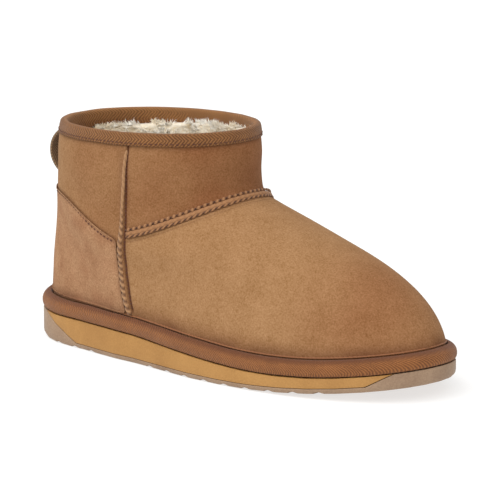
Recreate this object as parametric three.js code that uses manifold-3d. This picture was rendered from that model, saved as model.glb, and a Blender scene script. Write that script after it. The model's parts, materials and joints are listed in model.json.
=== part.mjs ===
// A low sheepskin boot, right foot, in millimetres. X runs from heel to toe, Y to the inner side, Z up.
// The upper is a stack of closed sections between the sole and the collar. Every other piece takes its shape
// from the same surface: the sole, the binding round it, the heel counter, the collar tape and the pull loop.
import * as THREE from "three";
import { mergeVertices } from "three/addons/utils/BufferGeometryUtils.js";
import Module from "manifold-3d";

const wasm = await Module();
wasm.setup();

// Driving dimensions
const footLength = 256; // upper where it meets the sole, heel to toe
const ballWidth = 93; // upper across the ball of the foot
const waistWidth = 80; // upper across the waist of the foot
const heelWidth = 72; // upper across the heel
const archHollow = 3; // how much the inner side draws in at the arch
const toeSwing = 6; // how far the toe leans to the inner side
const shaftLength = 122.4; // shaft, back to front
const shaftWidth = 91; // shaft, side to side
const collarHeight = 120.2; // floor to the upper's top edge at the back
const collarLift = 3; // how much higher that edge is in front
const wall = 2.6; // tanned skin of the sheepskin
const clearance = 0.3; // between pieces that meet

const heelThickness = 15.7; // sole under the heel
const ballThickness = 8.2; // sole under the ball and toe
const toeSpring = 8.6; // rise of the sole at the toe
const heelBevel = 0.5; // rise of the sole at the back
const treadBand = 2.8; // rubber under the midsole
const edgeInset = 2; // rounding of the sole's lower edge
const edgeRise = 3.4;
const grooveWidth = 6; // tread grooves across the sole
const grooveDepth = 1.2;
const groovePitch = 14;

const randHeight = 9.3; // taped binding round the foot of the upper
const randReach = 5.4; // how far it stands out from the upper
const randReachBack = 7; // the same at the back of the heel
const soleSetback = 1.1; // the sole's side behind the binding's

const seamHalfWidth = 3; // raised seams of the upper
const seamRise = 1.7;
const counterThickness = 1.3; // suede patch over the heel
const counterInset = 4; // from the side seams
// Its top edge, as shares of the height from the sole to the collar, and the share of the way from the side
// seam to the back over which it climbs
const counterTop = { side: 0.472, back: 0.657, climb: 0.72 };

const tapeThickness = 1.3; // collar tape, folded over the edge
const tapeDropOutside = 5.5;
const tapeDropInside = 8;

const insoleThickness = 6;

const loopWidth = 16; // pull loop at the back
const loopThickness = 1.6;
const loopHeight = 28.3;
const loopBulge = 13.6;
const loopTab = 2; // flat end sewn to the shaft

// Sections of the upper, from the sole up. Each is a closed line round the boot.
// reach: its length, from 0 as long as the shaft to 1 as long as the foot. back: where it starts, as a share
// of footLength. riseBack, riseSide and riseFront: its height there, from 0 at the sole to 1 at the collar.
// foot: how much of its width follows the foot's widths, the rest being the shaft's. heel, waist and ball:
// shares of those widths. heelRound and toeRound: the share of its length over which each end is rounded.
// seam: where the side seam crosses it, as a share of footLength.
const sectionColumns = [
  "reach", "back", "riseBack", "riseSide", "riseFront", "foot",
  "heel", "waist", "ball", "heelRound", "toeRound", "seam",
];
const sections = [
  [1.0, 0.0, 0.0, 0.0, 0.0, 1.0, 0.97, 1.0, 0.99, 0.16, 0.37, 0.35],
  [1.0, -0.002, 0.09, 0.08, 0.082, 1.0, 1.0, 1.03, 1.01, 0.17, 0.38, 0.344],
  [0.955, 0.001, 0.197, 0.158, 0.196, 1.0, 1.01, 1.07, 1.0, 0.18, 0.4, 0.338],
  [0.868, 0.004, 0.315, 0.237, 0.322, 0.95, 1.02, 1.07, 0.96, 0.2, 0.44, 0.332],
  [0.703, 0.009, 0.457, 0.332, 0.45, 0.8, 1.02, 1.06, 0.92, 0.26, 0.5, 0.328],
  [0.381, 0.015, 0.585, 0.424, 0.584, 0.5, 1.02, 1.06, 0.96, 0.36, 0.54, 0.327],
  [0.055, 0.023, 0.705, 0.505, 0.703, 0.25, 1.03, 1.02, 1.0, 0.46, 0.54, 0.328],
  [-0.002, 0.028, 0.81, 0.69, 0.768, 0.1, 1.02, 1.0, 1.0, 0.48, 0.52, 0.329],
  [-0.005, 0.029, 0.9, 0.855, 0.89, 0.0, 1.01, 1.0, 1.0, 0.5, 0.5, 0.33],
  [-0.03, 0.036, 1.0, 1.0, 1.0, 0.0, 0.98, 0.98, 0.98, 0.5, 0.5, 0.33],
].map((row) => Object.fromEntries(row.map((value, i) => [sectionColumns[i], value])));
const seamSection = 6; // instep seam
const collarSection = sections.length - 1;

// Stations along the boot, as shares of a section's length or of footLength
const heelAt = 0.14;
const waistAt = 0.32;
const ballAt = 0.57;
const swingAt = { start: 0.45, end: 1.15 };
const soleTaper = { start: 0.235, end: 0.85 };
const springAt = 0.6;
const bevelAt = 0.12;
const riseCurve = 1.3; // how sharply a section dips to the side seam
const roundness = 2.1; // of the two ends of a section, 2 being an ellipse

const { lerp, smoothstep, clamp } = THREE.MathUtils;

// Value of one column between two rows, on a smooth curve through the rows
function column(name, row) {
  const last = sections.length - 1;
  const i = clamp(Math.floor(row), 0, last - 1);
  const t = row - i;
  const [b, c] = [sections[i][name], sections[i + 1][name]];
  const a = i > 0 ? sections[i - 1][name] : 2 * b - c;
  const d = i < last - 1 ? sections[i + 2][name] : 2 * c - b;
  const slopeB = (c - a) / 2;
  const slopeC = (d - b) / 2;
  const rest = (3 * (c - b) - 2 * slopeB - slopeC) * t * t + (slopeB + slopeC - 2 * (c - b)) * t * t * t;
  return b + slopeB * t + rest;
}

function sectionAt(row) {
  return Object.fromEntries(sectionColumns.map((name) => [name, column(name, row)]));
}

// Rise of the sole's underside, and height of its top, along the boot
function spring(x) {
  const toe = Math.max((x / footLength - springAt) / (1 - springAt), 0);
  const heel = Math.max((bevelAt - x / footLength) / bevelAt, 0);
  return toeSpring * toe * toe + heelBevel * heel * heel;
}

function soleTop(x) {
  const forward = smoothstep(x / footLength, soleTaper.start, soleTaper.end);
  return lerp(heelThickness, ballThickness, forward) + spring(x);
}

function collarTop(x) {
  return collarHeight + collarLift * clamp(x / shaftLength, 0, 1);
}

function sectionLength(section) {
  return lerp(shaftLength, footLength, section.reach);
}

// Where the side seam crosses a section, as a share of the section's length
function seamShare(section) {
  return ((section.seam - section.back) * footLength) / sectionLength(section);
}

// Half width of a section at a share of its length
function halfWidth(section, share, inner) {
  const width = (name, ofFoot) => section[name] * lerp(shaftWidth, ofFoot, section.foot);
  const waist = width("waist", waistWidth) - (inner ? archHollow * section.foot : 0);
  const plain = share < waistAt
    ? lerp(width("heel", heelWidth), waist, smoothstep(share, heelAt, waistAt))
    : lerp(waist, width("ball", ballWidth), smoothstep(share, waistAt, ballAt));
  const fromHeel = 1 - Math.min(share / section.heelRound, 1);
  const fromToe = 1 - Math.min((1 - share) / section.toeRound, 1);
  const round = (left) => Math.max(1 - left ** roundness, 0) ** (1 / roundness);
  return (plain / 2) * round(fromHeel) * round(fromToe);
}

// Point of the upper's surface. A turn runs from 0 at the heel, along the outer side, to PI at the toe, and
// back along the inner side.
function baseSkin(turn, row) {
  const section = sectionAt(row);
  const whole = 2 * Math.PI;
  const round = ((turn % whole) + whole) % whole;
  const inner = round > Math.PI;
  const angle = inner ? whole - round : round;
  const behind = angle < Math.PI / 2;
  const seam = seamShare(section);
  const share = seam - (behind ? seam : 1 - seam) * Math.cos(angle);
  const x = section.back * footLength + share * sectionLength(section);
  const lean = toeSwing * section.foot * smoothstep(share, swingAt.start, swingAt.end);
  const y = (inner ? 1 : -1) * halfWidth(section, share, inner) + lean;
  const end = behind ? section.riseBack : section.riseFront;
  const rise = lerp(section.riseSide, end, Math.abs(Math.cos(angle)) ** riseCurve);
  const low = soleTop(x) + clearance;
  return new THREE.Vector3(x, y, low + rise * (collarTop(x) - low));
}

function skinNormal(turn, row) {
  const step = 0.01;
  const up = Math.min(row + step, collarSection);
  const down = Math.max(row - step, 0);
  const along = baseSkin(turn + step, row).sub(baseSkin(turn - step, row));
  const rising = baseSkin(turn, up).sub(baseSkin(turn, down));
  return along.cross(rising).normalize();
}

// Point of the upper's surface, moved out by a distance
function skin(turn, row, out = 0) {
  return baseSkin(turn, row).addScaledVector(skinNormal(turn, row), out);
}

// Turn at a distance from a side seam, towards the toe
function turnAtSeam(distance, row, inner) {
  const section = sectionAt(row);
  const seam = seamShare(section);
  const side = distance < 0 ? seam : 1 - seam;
  const angle = Math.acos(-distance / (side * sectionLength(section)));
  return inner ? 2 * Math.PI - angle : angle;
}

// Row at a distance above a section, or below it, measured along the surface
function rowAbove(turn, row, distance) {
  const step = Math.sign(distance) * 0.02;
  let [at, left, here] = [row, Math.abs(distance), baseSkin(turn, row)];
  while (left > 0) {
    const next = baseSkin(turn, at + step);
    const gap = next.distanceTo(here);
    if (gap >= left) return at + (step * left) / gap;
    left -= gap;
    at += step;
    here = next;
  }
  return at;
}

// Row at a height above the floor
function rowAtHeight(turn, z) {
  const halvings = 30;
  let [low, high] = [0, collarSection];
  for (let i = 0; i < halvings; i++) {
    const middle = (low + high) / 2;
    if (baseSkin(turn, middle).z < z) low = middle;
    else high = middle;
  }
  return low;
}

// Columns of the grid round the boot, for one side: behind the side seam, across it, and in front of it
const columnsBehind = 9;
const columnsInFront = 11;
const seamColumns = [-1, -0.5, 0, 0.5, 1]; // shares of the seam's half width

// Each column is a function from row to turn.
function columnsOfSide(inner, spacing) {
  const place = (angle) => () => (inner ? 2 * Math.PI - angle : angle);
  const quarter = (count, start) =>
    [...Array(count)].map((_, i) => place((Math.PI / 2) * (start + (i + 1) / (count + 1))));
  const seam = spacing.map((share) => (row) => turnAtSeam(share * seamHalfWidth, row, inner));
  const side = [...quarter(columnsBehind, 0), ...seam, ...quarter(columnsInFront, 1)];
  return inner ? side.reverse() : side;
}

function columnsRound() {
  return [() => 0, ...columnsOfSide(false, seamColumns), () => Math.PI, ...columnsOfSide(true, seamColumns)];
}

// Closed solid from a grid of points whose rows are closed lines, and whose last row joins the first
function tubeSolid(rings) {
  return gridGeometry(rings, { closeColumns: true });
}

// Closed solid from a stack of closed lines. The ends are filled by strips across, from side to side.
function stackSolid(rings) {
  const n = rings[0].length;
  const strips = [...Array(Math.ceil(n / 2))].map((_, i) => [i, i + 1, (n - i - 1) % n, (n - i) % n]);
  return gridGeometry(rings, { strips });
}

// Closed slab between two open grids of points of the same size
function slabSolid(outerGrid, innerGrid) {
  const rings = outerGrid.map((points, i) => [...points, ...[...innerGrid[i]].reverse()]);
  const n = outerGrid[0].length;
  const strips = [...Array(n - 1)].map((_, i) => [i, i + 1, 2 * n - 2 - i, 2 * n - 1 - i]);
  return gridGeometry(rings, { strips });
}

// Faces between rows of points, each row a closed line. The strips fill the first and the last row.
function gridGeometry(rows, { closeColumns = false, strips = [] }) {
  const n = rows[0].length;
  const index = [];
  const addFace = (face) => {
    if (new Set(face).size === 3) index.push(...face);
  };
  const last = (rows.length - 1) * n;
  for (const [a, b, c, d] of strips) {
    for (const face of [[a, b, c], [a, c, d]]) {
      addFace([...face].reverse());
      addFace(face.map((k) => k + last));
    }
  }
  const rowPairs = closeColumns ? rows.length : rows.length - 1;
  for (let r = 0; r < rowPairs; r++) {
    const [base, next] = [r * n, ((r + 1) % rows.length) * n];
    for (let i = 0; i < n; i++) {
      const j = (i + 1) % n;
      addFace([base + i, base + j, next + j]);
      addFace([base + i, next + j, next + i]);
    }
  }
  const geometry = new THREE.BufferGeometry().setFromPoints(rows.flat());
  geometry.setIndex(index);
  return facingOut(geometry);
}

function facingOut(geometry) {
  const p = geometry.getAttribute("position");
  const index = geometry.getIndex().array;
  const [a, b, c] = [0, 1, 2].map(() => new THREE.Vector3());
  let volume = 0;
  for (let i = 0; i < index.length; i += 3) {
    a.fromBufferAttribute(p, index[i]);
    b.fromBufferAttribute(p, index[i + 1]);
    c.fromBufferAttribute(p, index[i + 2]);
    volume += a.dot(b.cross(c));
  }
  if (volume < 0) index.reverse();
  return geometry;
}

function toSolid(geometry) {
  const bare = geometry.clone();
  for (const name of Object.keys(bare.attributes)) {
    if (name !== "position") bare.deleteAttribute(name);
  }
  const merged = mergeVertices(bare, 1e-4);
  return new wasm.Manifold(new wasm.Mesh({
    numProp: 3,
    vertProperties: merged.getAttribute("position").array,
    triVerts: new Uint32Array(merged.getIndex().array),
  }));
}

function toGeometry(solid) {
  const mesh = solid.getMesh();
  const geometry = new THREE.BufferGeometry();
  geometry.setAttribute("position", new THREE.BufferAttribute(mesh.vertProperties, 3));
  geometry.setIndex(new THREE.BufferAttribute(mesh.triVerts, 1));
  return geometry;
}

const matte = (color, roughness) => new THREE.MeshStandardMaterial({ color, roughness, metalness: 0 });
const suedeTan = matte(0xac8157, 0.95);
const suedeBrown = matte(0x9c6b43, 0.95);
const tapeBrown = matte(0x8a5f3d, 0.9);
const webbingTan = matte(0x8d745a, 0.9);
const creamFleece = matte(0xe2d6c0, 1);
const midsoleFoam = matte(0xbd8a53, 0.7);
const soleRubber = matte(0xa58a74, 0.6);

const boot = new THREE.Group();

function addPiece(name, geometry, material) {
  const mesh = new THREE.Mesh(geometry, material);
  mesh.name = name;
  boot.add(mesh);
}

// Upper: one skin with a wall, open at the collar and underneath, with the seams as steps in its wall
const rowSteps = [1, 2, 2, 3, 3, 3, 2, 2, 1]; // rows of the grid between each section and the next
const seamRows = [-1, -0.5, 0, 0.5, 1]; // shares of the seam's half width, below and above its line
const ridgeFullness = 1.2; // above 1, a seam's ridge is flat along its top

function upperRows() {
  const rows = [];
  rowSteps.forEach((steps, section) => {
    for (let i = 0; i < steps; i++) {
      rows.push({ row: section + i / steps, above: 0 });
    }
  });
  rows.push({ row: collarSection, above: -(tapeDropOutside + clearance) }, { row: collarSection, above: 0 });
  const at = rows.findIndex(({ row }) => row === seamSection);
  rows.splice(at, 1, ...seamRows.map((share) => ({ row: seamSection, above: share * seamHalfWidth })));
  return rows;
}

// Height of a seam's ridge at a share of its half width
function ridge(share) {
  return seamRise * smoothstep(ridgeFullness * (1 - Math.abs(share)), 0, 1);
}

// The side seam's ridge fades out before it reaches the two bindings.
function sideRidge(share, turn, row) {
  const z = baseSkin(turn, row).z;
  const aboveBinding = z - baseSkin(turn, 0).z - randHeight;
  const belowTape = baseSkin(turn, collarSection).z - tapeDropOutside - z;
  return ridge(share) * smoothstep(Math.min(aboveBinding, belowTape) - clearance, 0, seamRise);
}

function makeUpper() {
  const columns = columnsRound();
  const first = 1 + columnsBehind;
  const seamMiddle = first + (seamColumns.length - 1) / 2;
  const shareOf = (i) => seamColumns[i - first] ?? seamColumns[columns.length - first - i];
  const grid = upperRows().map(({ row, above }) => columns.map((turnOf, i) => {
    const turn = turnOf(row);
    const at = above ? rowAbove(turn, row, above) : row;
    const onSide = shareOf(i) === undefined ? 0 : sideRidge(shareOf(i), turn, at);
    const inFront = row === seamSection && i >= seamMiddle && i <= columns.length - seamMiddle;
    return { turn, at, out: Math.max(onSide, inFront ? ridge(above / seamHalfWidth) : 0) };
  }));
  const outer = grid.map((points) => points.map(({ turn, at, out }) => skin(turn, at, out)));
  const inner = grid.map((points) => points.map(({ turn, at }) => skin(turn, at, -wall)));
  for (const r of [0, grid.length - 1]) {
    inner[r].forEach((point, i) => point.setZ(outer[r][i].z));
  }
  return tubeSolid([...outer, ...inner.reverse()]);
}

// Outline of the upper at the sole, moved out by a distance given for each turn, at a height given for each
// place along the boot
function footOutline(outAt, heightAt) {
  return columnsRound().map((turnOf) => {
    const turn = turnOf(0);
    const normal = skinNormal(turn, 0).setZ(0).normalize();
    const point = baseSkin(turn, 0).addScaledVector(normal, outAt(turn));
    return point.setZ(heightAt(point.x));
  });
}

// How far the binding and the sole stand out from the upper, round the boot
function reachAt(turn) {
  return lerp(randReach, randReachBack, Math.max(Math.cos(turn), 0) ** 2);
}

// Sole: one block with its true outline, spring and rounded lower edge, cut into rubber and foam
const edgeSteps = 3;

function makeSoleBlock() {
  const rings = [];
  for (let i = 0; i <= edgeSteps; i++) {
    const angle = (Math.PI / 2) * (i / edgeSteps);
    const inset = soleSetback + edgeInset * (1 - Math.sin(angle));
    const lift = edgeRise * (1 - Math.cos(angle));
    rings.push(footOutline((turn) => reachAt(turn) - inset, (x) => spring(x) + lift));
  }
  rings.push(footOutline((turn) => reachAt(turn) - soleSetback, soleTop));
  return toSolid(stackSolid(rings));
}

// Foam between two slanted ends, above the tread band. Each end starts at a share of footLength and leans
// back or forward by so much for each millimetre up.
const foamHeel = { at: 0.168, lean: -2.2 };
const foamToe = { at: 0.928, lean: 1.6 };
const acrossBoot = 2 * (ballWidth + randReach);

function acrossSolid(shape) {
  const settings = { depth: acrossBoot, bevelEnabled: false, curveSegments: 6 };
  const geometry = new THREE.ExtrudeGeometry(shape, settings);
  geometry.rotateX(Math.PI / 2);
  geometry.translate(0, acrossBoot / 2, 0);
  return toSolid(geometry);
}

// The foam's region grown by a margin, or shrunk by a negative one, across the whole boot
function foamRegion(margin) {
  const steps = 14;
  const above = 2 * heelThickness;
  const shape = new THREE.Shape();
  const endAt = ({ at, lean }, z) => at * footLength + lean * (z - treadBand - spring(at * footLength));
  shape.moveTo(endAt(foamHeel, above) - margin, above);
  for (let i = 0; i <= steps; i++) {
    const x = footLength * lerp(foamHeel.at, foamToe.at, i / steps);
    const end = margin * ((i === steps) - (i === 0));
    shape.lineTo(x + end, spring(x) + treadBand - margin);
  }
  shape.lineTo(endAt(foamToe, above) + margin, above);
  return acrossSolid(shape);
}

function grooveSolid(x) {
  const shape = new THREE.Shape();
  shape.absellipse(x, spring(x), grooveWidth / 2, grooveDepth, 0, 2 * Math.PI, false, 0);
  return acrossSolid(shape);
}

// Grooves under the heel and under the forefoot, as shares of footLength
const grooveRanges = [{ start: 0.05, end: 0.24 }, { start: 0.4, end: 0.86 }];

function makeSole() {
  let block = makeSoleBlock();
  for (const { start, end } of grooveRanges) {
    for (let x = start * footLength; x <= end * footLength; x += groovePitch) {
      block = block.subtract(grooveSolid(x));
    }
  }
  addPiece("outsole", toGeometry(block.subtract(foamRegion(0))), soleRubber);
  addPiece("midsole", toGeometry(block.intersect(foamRegion(-clearance))), midsoleFoam);
}

// Binding round the foot: a taped bead on the sole, against the upper. Its face stands upright below a
// shoulder and rounds in to the upper above it.
const randShoulder = 0.35; // share of its height
const randSteps = [0, 0.35, 0.6, 0.8, 0.92, 0.99]; // shares of its height, of the rows of its face
const randTuck = 0.5; // how much its foot draws in
const randBack = 0.9; // share of its height that lies against the upper

function makeRand() {
  const columns = columnsRound();
  const place = (share, outOf) => columns.map((turnOf) => {
    const turn = turnOf(0);
    const row = share > 0 ? rowAbove(turn, 0, randHeight * share) : 0;
    const point = skin(turn, row, outOf(turn));
    return point.setZ(soleTop(point.x) + clearance + randHeight * share);
  });
  const faceAt = (share, turn) => {
    const reach = reachAt(turn) - clearance;
    if (share < randShoulder) return reach - randTuck * (1 - share / randShoulder) ** 2;
    return reach * Math.sqrt(1 - ((share - randShoulder) / (1 - randShoulder)) ** 2);
  };
  const face = randSteps.map((share) => place(share, (turn) => clearance + faceAt(share, turn)));
  return tubeSolid([...face, place(randBack, () => clearance), place(0, () => clearance)]);
}

// Heel counter: a patch over the upper, from one side seam round the heel to the other
const counterRows = 8;

function makeCounter() {
  const behind = columnsOfSide(false, []).slice(0, columnsBehind);
  const columns = [
    (row) => turnAtSeam(-counterInset, row, false),
    ...[...behind].reverse(),
    () => 0,
    ...behind.map((turnOf) => () => -turnOf()),
    (row) => turnAtSeam(-counterInset, row, true),
  ];
  const lowAt = (turn) => rowAbove(turn, 0, randHeight + 2 * clearance);
  const topAt = (turn) => {
    const rise = lerp(counterTop.side, counterTop.back, smoothstep(Math.cos(turn), 0, counterTop.climb));
    return rowAtHeight(turn, lerp(baseSkin(turn, 0).z, baseSkin(turn, collarSection).z, rise));
  };
  const rowsUp = [...Array(counterRows + 1)].map((_, i) => i / counterRows);
  const grid = (out) => rowsUp.map((share) => columns.map((turnOf) => {
    const row = lerp(lowAt(turnOf(0)), topAt(turnOf(seamSection)), share);
    return skin(turnOf(row), row, out);
  }));
  return slabSolid(grid(clearance + counterThickness), grid(clearance));
}

// Collar tape: folded over the upper's top edge
const foldStart = 0.5; // where its faces start to round, below the upper's edge
const foldShoulder = 1.1; // height of the fold's two shoulders over that edge

function makeCollarTape() {
  const outside = clearance + tapeThickness;
  const inside = -(wall + outside);
  const across = (share) => lerp(outside, inside, share);
  const profile = [ // out from the upper's face, up from its edge
    [clearance, -tapeDropOutside], [outside, -tapeDropOutside], [outside, -foldStart],
    [across(0.1), foldShoulder], [across(0.3), outside], [across(0.7), outside],
    [across(0.9), foldShoulder], [inside, -foldStart], [inside, -tapeDropInside],
    [inside + tapeThickness, -tapeDropInside], [inside + tapeThickness, clearance], [clearance, clearance],
  ];
  const rings = profile.map(([out, up]) => columnsRound().map((turnOf) => {
    const turn = turnOf(collarSection);
    const row = up < 0 ? rowAbove(turn, collarSection, up) : collarSection;
    const point = skin(turn, row, out);
    return up < 0 ? point : point.setZ(baseSkin(turn, collarSection).z + up);
  }));
  return tubeSolid(rings);
}

// Pull loop: webbing sewn flat at both ends, standing out between them
const loopSteps = 12;

function makePullLoop() {
  const top = baseSkin(0, rowAbove(0, collarSection, -tapeDropOutside - 2 * clearance)).z;
  const line = [[top, 0]];
  for (let i = 0; i <= loopSteps; i++) {
    const z = top - loopTab - (loopHeight - 2 * loopTab) * (i / loopSteps);
    line.push([z, loopBulge * Math.sqrt(Math.sin((Math.PI * i) / loopSteps))]);
  }
  line.push([top - loopHeight, 0]);
  const foot = (z) => baseSkin(0, rowAtHeight(0, z)).x - 2 * clearance;
  const face = (out) => line.map(([z, bulge]) => new THREE.Vector2(foot(z) - bulge - out, z));
  const shape = new THREE.Shape([...face(0), ...face(loopThickness).reverse()]);
  const geometry = new THREE.ExtrudeGeometry(shape, { depth: loopWidth, bevelEnabled: false });
  geometry.rotateX(Math.PI / 2);
  geometry.translate(0, loopWidth / 2, 0);
  return geometry;
}

// Insole: a fleece bed on the sole, inside the upper
const insoleRounding = 2;

function makeInsole() {
  const edge = wall + 2 * clearance;
  const ring = (inset, height) => footOutline(() => -(edge + inset), (x) => soleTop(x) + height);
  return stackSolid([
    ring(0, clearance),
    ring(0, insoleThickness - insoleRounding),
    ring(insoleRounding, insoleThickness),
  ]);
}

makeSole();
addPiece("binding_round_sole", makeRand(), tapeBrown);
addPiece("upper", makeUpper(), suedeBrown);
addPiece("heel_counter", makeCounter(), suedeTan);
addPiece("collar_tape", makeCollarTape(), tapeBrown);
addPiece("pull_loop", makePullLoop(), webbingTan);
addPiece("insole", makeInsole(), creamFleece);

// The origin is on the floor, under the middle of the boot's length and width.
const box = new THREE.Box3().setFromObject(boot, true);
const middle = box.getCenter(new THREE.Vector3());
boot.position.set(-middle.x, -middle.y, 0);

export default boot;
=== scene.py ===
# A low sheepskin boot: a brushed suede upper with overlocked seams and a taped collar, wool inside it, and a
# taped binding over a foam and rubber sole.
import json
import math
import random

import bpy
import numpy as np
from mathutils import Matrix, Vector, noise

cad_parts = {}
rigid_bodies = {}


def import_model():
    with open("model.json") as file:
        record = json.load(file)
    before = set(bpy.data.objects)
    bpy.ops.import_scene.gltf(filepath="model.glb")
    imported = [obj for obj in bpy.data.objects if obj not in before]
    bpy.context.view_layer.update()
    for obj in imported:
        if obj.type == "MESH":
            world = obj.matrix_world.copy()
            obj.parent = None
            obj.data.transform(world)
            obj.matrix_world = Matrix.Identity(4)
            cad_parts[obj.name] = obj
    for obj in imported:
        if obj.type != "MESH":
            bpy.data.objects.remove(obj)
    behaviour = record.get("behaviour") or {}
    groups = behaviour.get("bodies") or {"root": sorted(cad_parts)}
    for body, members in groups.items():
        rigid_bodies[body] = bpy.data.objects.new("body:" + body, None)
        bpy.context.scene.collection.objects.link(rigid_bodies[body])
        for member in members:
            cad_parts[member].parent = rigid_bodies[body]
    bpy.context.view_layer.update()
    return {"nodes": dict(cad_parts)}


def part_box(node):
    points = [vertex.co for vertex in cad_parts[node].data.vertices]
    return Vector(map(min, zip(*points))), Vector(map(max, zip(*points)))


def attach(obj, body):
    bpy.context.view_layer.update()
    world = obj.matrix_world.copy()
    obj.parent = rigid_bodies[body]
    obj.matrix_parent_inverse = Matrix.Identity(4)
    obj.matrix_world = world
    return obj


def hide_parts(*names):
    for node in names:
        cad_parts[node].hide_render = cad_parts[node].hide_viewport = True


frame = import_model()
mm = 0.001
mergeDistance = 0.01 * mm


# Helpers for objects and meshes

def deselectAll():
    if bpy.context.mode != "OBJECT":
        bpy.ops.object.mode_set(mode="OBJECT")
    bpy.ops.object.select_all(action="DESELECT")


def selectOnly(piece):
    deselectAll()
    piece.select_set(True)
    bpy.context.view_layer.objects.active = piece


def applyModifier(piece, kind, **settings):
    selectOnly(piece)
    modifier = piece.modifiers.new(kind.title(), kind)
    for key, value in settings.items():
        setattr(modifier, key, value)
    bpy.ops.object.modifier_apply(modifier=modifier.name)


def smooth(piece, levels):
    applyModifier(piece, "SUBSURF", levels=levels, render_levels=levels)


def newPiece(name, mesh):
    piece = bpy.data.objects.new(name, mesh)
    bpy.context.scene.collection.objects.link(piece)
    return piece


def copyNode(node, name, quads=True):
    # a node's mesh is loose triangles: its doubles are merged, and on a soft piece pairs of them become quads
    piece = newPiece(name, frame["nodes"][node].data.copy())
    piece.data.materials.clear()
    selectOnly(piece)
    bpy.ops.mesh.customdata_custom_splitnormals_clear()
    bpy.ops.object.mode_set(mode="EDIT")
    bpy.ops.mesh.select_all(action="SELECT")
    bpy.ops.mesh.remove_doubles(threshold=mergeDistance)
    if quads:
        bpy.ops.mesh.tris_convert_to_quads(face_threshold=math.pi, shape_threshold=math.pi)
    bpy.ops.mesh.select_all(action="DESELECT")
    bpy.ops.object.mode_set(mode="OBJECT")
    return piece


def clearSelection(piece, kind):
    # kind is what is selected from here on, EDGE or FACE
    selectOnly(piece)
    bpy.ops.object.mode_set(mode="EDIT")
    bpy.ops.mesh.select_mode(type=kind)
    bpy.ops.mesh.select_all(action="DESELECT")
    bpy.ops.object.mode_set(mode="OBJECT")


def joinLeftTriangles(piece):
    # an edge between two triangles that are still there is the diagonal of a quad
    mesh = piece.data
    beside = {}
    for face in mesh.polygons:
        for key in face.edge_keys:
            beside.setdefault(key, []).append(len(face.vertices))
    clearSelection(piece, "EDGE")
    for edge in mesh.edges:
        edge.select = beside.get(edge.key) == [3, 3]
    bpy.ops.object.mode_set(mode="EDIT")
    bpy.ops.mesh.dissolve_edges(use_verts=False)
    bpy.ops.mesh.select_mode(type="FACE")
    bpy.ops.object.mode_set(mode="OBJECT")


def moveAlongNormals(piece, distanceAt):
    # distanceAt takes a point and a normal, and gives how far the point moves out
    normals = [vertex.normal.copy() for vertex in piece.data.vertices]
    for vertex, normal in zip(piece.data.vertices, normals):
        vertex.co += normal * distanceAt(vertex.co, normal)
    piece.data.update()


def setAttribute(piece, name, valueAt):
    attribute = piece.data.attributes.new(name, "FLOAT", "POINT")
    attribute.data.foreach_set("value", [valueAt(vertex.co) for vertex in piece.data.vertices])


def smoothFaces(piece, angle=None):
    selectOnly(piece)
    if angle is None:
        bpy.ops.object.shade_smooth()
    else:
        bpy.ops.object.shade_smooth_by_angle(angle=math.radians(angle))


def finishPiece(piece, material, slot, *nodes):
    piece.data.materials.clear()
    piece.data.materials.append(material)
    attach(piece, "root")
    if nodes:
        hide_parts(*nodes)
    return piece


def smoothStep(low, high, value):
    share = min(max((value - low) / (high - low), 0), 1)
    return share * share * (3 - 2 * share)


def lumps(point, size, seed=0):
    # soft noise from -1 to 1, with lumps of that size
    return noise.noise(point / size + Vector((seed, 3.1 * seed, 7.7)))


# Helpers for materials

def linearColour(hexValue):
    channels = [int(hexValue[i:i + 2], 16) / 255 for i in (1, 3, 5)]
    return [c / 12.92 if c <= 0.04045 else ((c + 0.055) / 1.055) ** 2.4 for c in channels] + [1]


def addNode(tree, kind, inputs=None, output=None, **settings):
    # an input is a number, a hex colour or another node's output; the node's own output comes back
    node = tree.nodes.new("ShaderNode" + kind)
    for name, value in settings.items():
        setattr(node, name, value)
    for name, value in (inputs or {}).items():
        if isinstance(value, bpy.types.NodeSocket):
            tree.links.new(value, node.inputs[name])
        else:
            node.inputs[name].default_value = linearColour(value) if isinstance(value, str) else value
    if output:
        return node.outputs[output]
    return next((socket for socket in node.outputs if socket.enabled), None)


def newMaterial(name):
    material = bpy.data.materials.new(name)
    material.use_nodes = True
    material.node_tree.nodes.clear()
    return material, material.node_tree


# Camera and studio

camera = {
    "target": (0.9 * mm, -0.9 * mm, 60 * mm),
    "azimuth": 41.95,  # degrees from -Y towards +X
    "elevation": 11.7,
    "distance": 1.775,  # metres
    "lens": 240.9,
    "shiftX": 0.0178,
}


def directionTo(azimuth, elevation):
    across, up = math.radians(azimuth), math.radians(elevation)
    return Vector((math.sin(across) * math.cos(up), -math.cos(across) * math.cos(up), math.sin(up)))


def makeCamera():
    direction = directionTo(camera["azimuth"], camera["elevation"])
    place = Vector(camera["target"]) + direction * camera["distance"]
    bpy.ops.object.camera_add(location=place, rotation=direction.to_track_quat("Z", "Y").to_euler())
    eye = bpy.context.object
    eye.data.lens = camera["lens"]
    eye.data.shift_x = camera["shiftX"]
    bpy.context.scene.camera = eye


studio = {
    "lamps": [  # azimuth, elevation, strength, softness in degrees
        (-20, 60, 1.8, 50),
        (46, 40, 1.05, 40),
    ],
    "lampAway": 2,  # metres; a sun lights the same from anywhere
    "world": 0.52,
    "floorColour": "#a3a3a2",
    "floorGlow": 0.66,  # the floor is a lit table, which all but takes the shadows away
    "floorSize": 12,
}


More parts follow.
